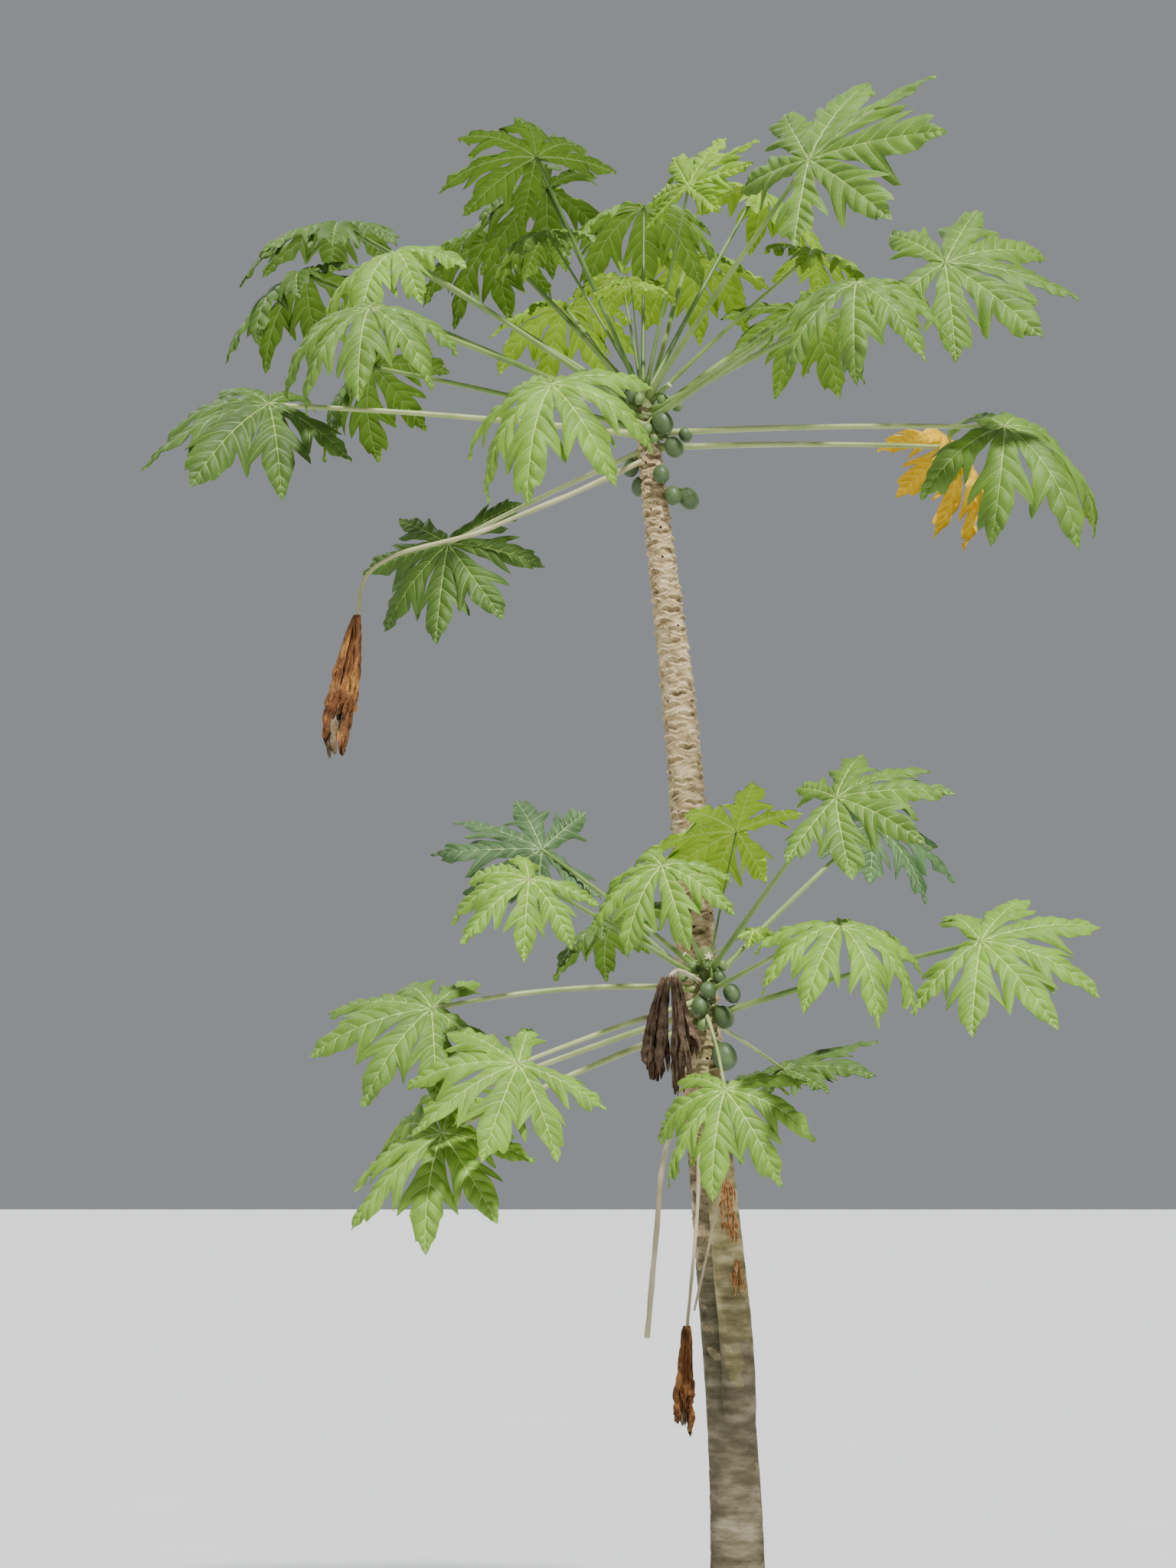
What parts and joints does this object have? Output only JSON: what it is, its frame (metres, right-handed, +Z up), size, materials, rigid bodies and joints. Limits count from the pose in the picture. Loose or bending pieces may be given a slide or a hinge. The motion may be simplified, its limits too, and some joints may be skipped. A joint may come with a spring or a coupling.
{
  "type": "papaya tree",
  "caption": "Papaya tree with a tall leaning trunk and a shorter side stem from a low fork, each under a crown of long-stalked lobed leaves and green fruit",
  "frame": {"origin": "the middle of the flat cut under the trunk, at ground level", "axes": "+Z up along the height; the pictured side faces -Y; the tall trunk leans towards -X"},
  "size_m": [2.8932, 1.9628, 4.9313],
  "materials": {
    "bark": "rough, ringed with leaf scars",
    "leaf": "waxy green with pale veins",
    "old_leaf": "dry golden yellow",
    "dead_leaf": "crumpled dry brown",
    "dead_stalk": "dry straw",
    "fruit": "smooth unripe green with a pale bloom"
  },
  "bodies": {
    "root": {"trunk": "bark", "side_stem": "bark", "leaf_upper_01": "leaf", "leaf_upper_02": "old_leaf", "leaf_upper_03": "leaf", "leaf_upper_04": "leaf", "leaf_upper_05": "leaf", "leaf_upper_06": "leaf", "leaf_upper_07": "leaf", "leaf_upper_08": "leaf", "leaf_upper_09": "leaf", "leaf_upper_10": "leaf", "leaf_upper_11": "leaf", "leaf_upper_12": "leaf", "leaf_upper_13": "leaf", "leaf_upper_14": "leaf", "leaf_upper_15": "leaf", "leaf_upper_16": "leaf", "leaf_upper_17": "leaf", "leaf_upper_18": "leaf", "leaf_upper_19": "leaf", "leaf_upper_20": "leaf", "leaf_upper_21": "leaf", "leaf_upper_22": "leaf", "leaf_upper_23": "leaf", "leaf_upper_24": "leaf", "leaf_upper_25": "leaf", "leaf_upper_26": "leaf", "leaf_lower_01": "leaf", "leaf_lower_02": "leaf", "leaf_lower_03": "leaf", "leaf_lower_04": "leaf", "leaf_lower_05": "leaf", "leaf_lower_06": "leaf", "leaf_lower_07": "leaf", "leaf_lower_08": "leaf", "leaf_lower_09": "leaf", "leaf_lower_10": "leaf", "leaf_lower_11": "leaf", "leaf_lower_12": "leaf", "leaf_lower_13": "leaf", "leaf_lower_14": "leaf", "leaf_lower_15": "leaf", "leaf_lower_16": "leaf", "dead_leaf_upper": "dead_leaf", "dead_leaf_lower": "dead_leaf", "dead_stalk_long": "dead_stalk", "dead_leaf_hanging": "dead_leaf", "dead_stalk_short": "dead_stalk", "fruit_01": "fruit", "fruit_02": "fruit", "fruit_03": "fruit", "fruit_04": "fruit", "fruit_05": "fruit", "fruit_06": "fruit", "fruit_07": "fruit", "fruit_08": "fruit", "fruit_09": "fruit", "fruit_10": "fruit", "fruit_11": "fruit"}
  },
  "joints": []
}
